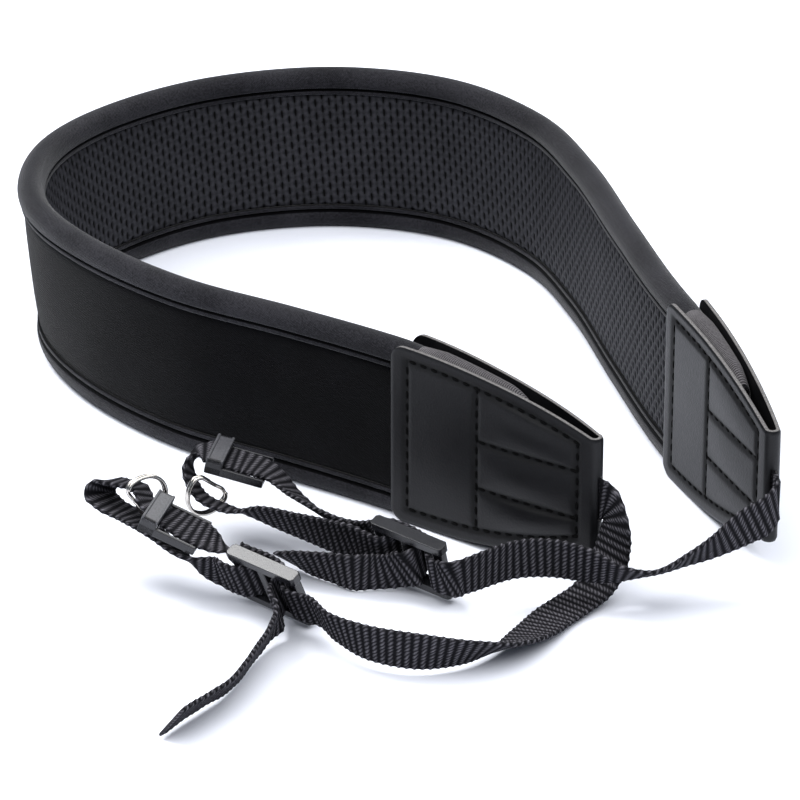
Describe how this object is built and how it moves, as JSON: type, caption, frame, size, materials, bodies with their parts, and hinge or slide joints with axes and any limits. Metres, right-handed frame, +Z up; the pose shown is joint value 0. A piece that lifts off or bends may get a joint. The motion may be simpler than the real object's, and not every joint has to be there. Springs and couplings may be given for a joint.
{
  "type": "camera neck strap",
  "caption": "Padded neck strap for a camera, lying on its long edge in an open loop, with leather tabs and webbing ends held by sliders, keepers and split rings.",
  "frame": {"origin": "middle of the part's box on the floor it rests on", "axes": "+X to the right seen from the open side of the loop, +Y from the open side to the closed end of the loop, +Z up"},
  "size_m": [0.2452, 0.3796, 0.061],
  "materials": {
    "knit_foam": "matt knit face on foam",
    "grip_foam": "moulded non-slip cells",
    "leather": "semi-matt, stitched",
    "webbing": "ribbed weave",
    "plastic": "satin",
    "nickel": "polished"
  },
  "bodies": {
    "root": {"outer_panel": "knit_foam", "inner_panel": "grip_foam", "top_binding": "knit_foam", "bottom_binding": "knit_foam", "tab_left": "leather", "tab_right": "leather", "webbing_left": "webbing", "webbing_right": "webbing", "slider_left": "plastic", "slider_right": "plastic", "keeper_left": "plastic", "keeper_right": "plastic", "ring_left": "nickel", "ring_right": "nickel"}
  },
  "joints": []
}
